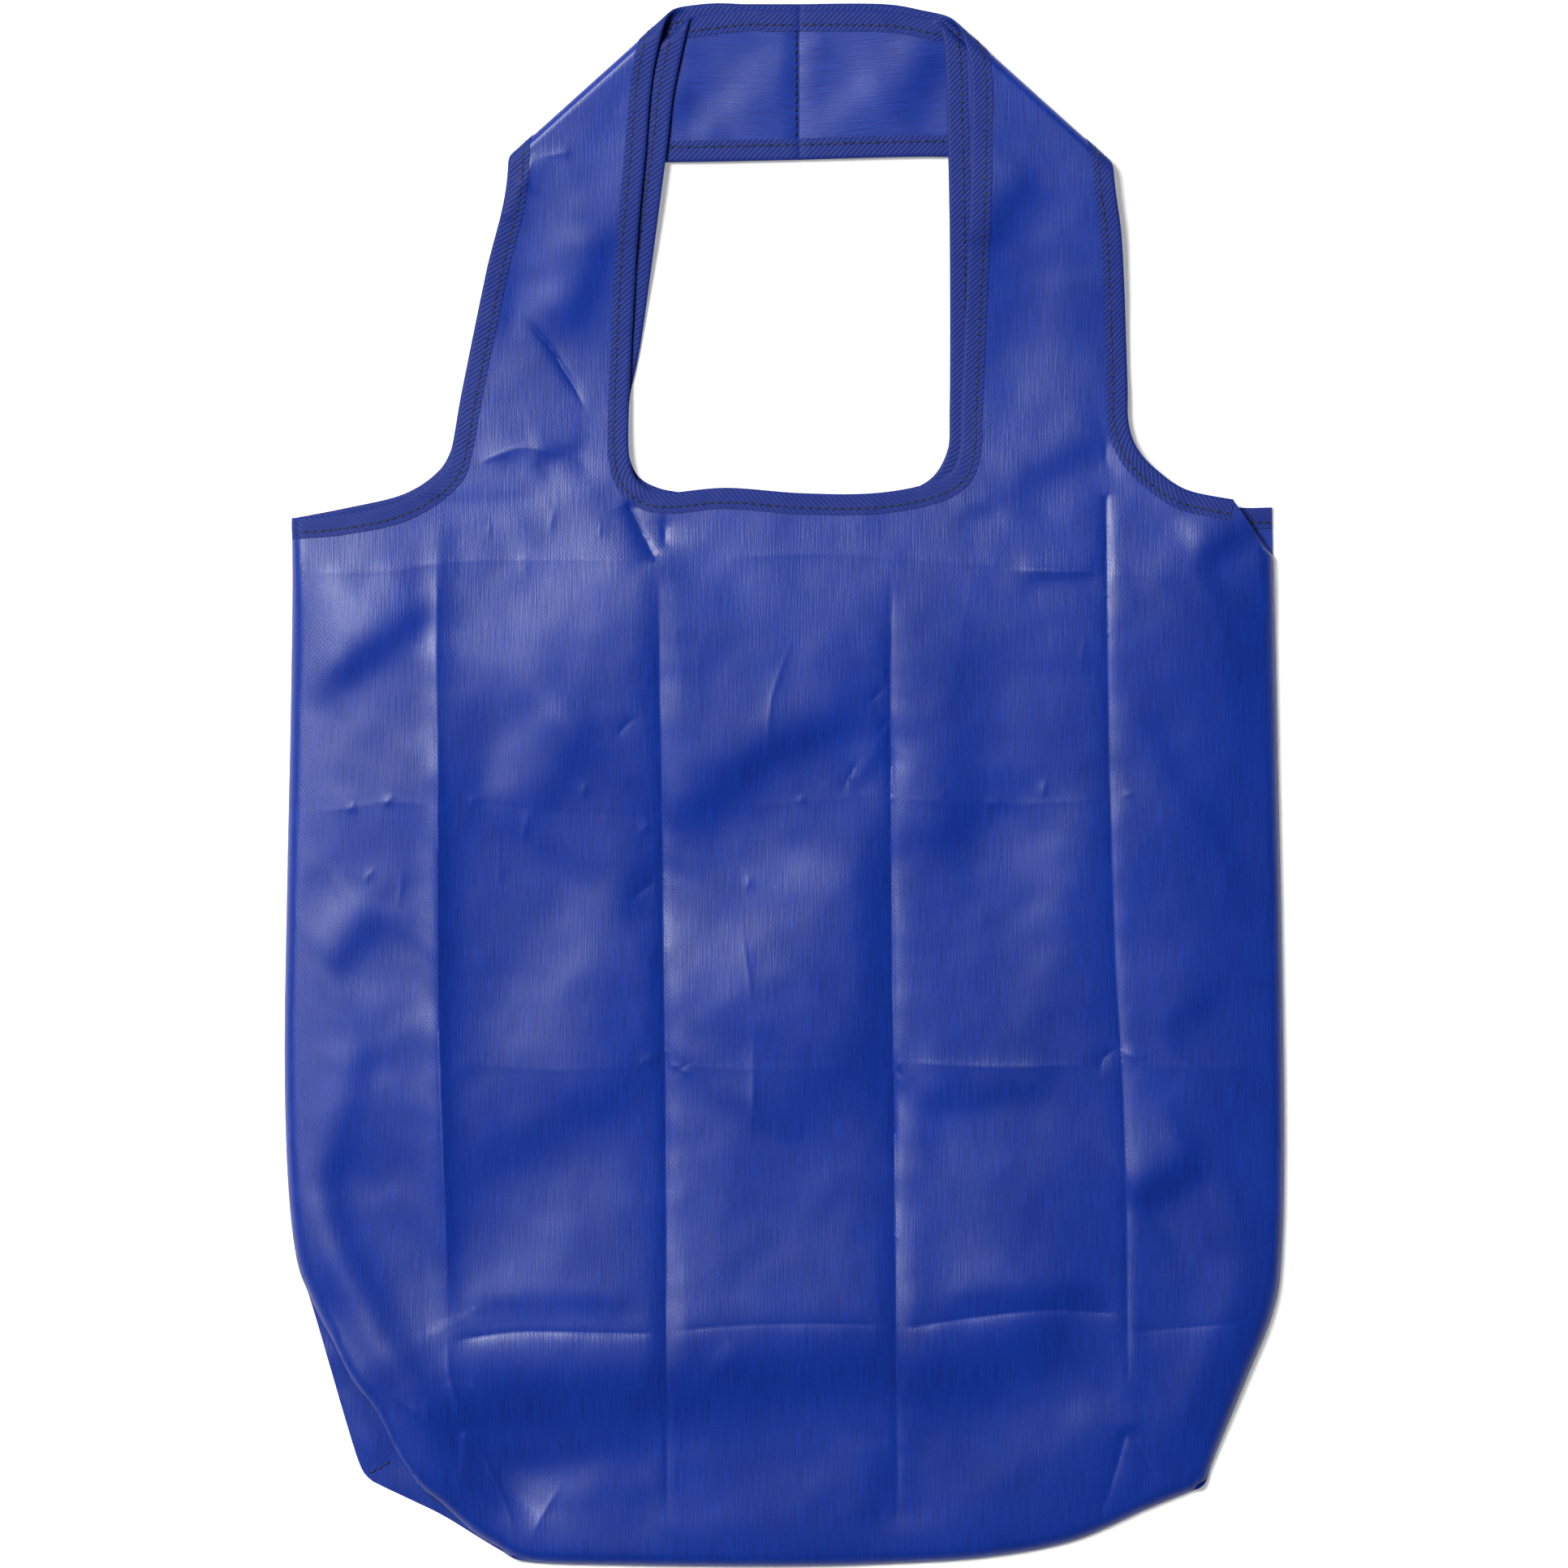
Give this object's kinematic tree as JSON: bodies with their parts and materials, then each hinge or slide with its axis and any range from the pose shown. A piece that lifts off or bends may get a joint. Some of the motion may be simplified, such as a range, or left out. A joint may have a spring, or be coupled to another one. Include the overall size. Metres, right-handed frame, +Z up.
{
  "type": "foldable shopping bag",
  "caption": "Flat-lying cloth shopping bag with an open mouth, loop handles folded back, taped edges and pressed storage creases.",
  "frame": {"origin": "centre of the bag's plan box, on the floor that the back panel lies on", "axes": "+X to the right seen from above, +Y from the bottom edge to the handles, +Z up from the back panel to the front panel"},
  "size_m": [0.3802, 0.5948, 0.0155],
  "materials": {
    "cloth": "satin-woven polyester with a soft sheen",
    "tape": "twill-woven polyester tape, slightly duller than the cloth"
  },
  "bodies": {
    "root": {"front_panel": "cloth", "back_panel": "cloth", "front_neck_binding": "tape", "back_neck_binding": "tape", "front_side_binding": "tape", "back_side_binding": "tape"}
  },
  "joints": []
}
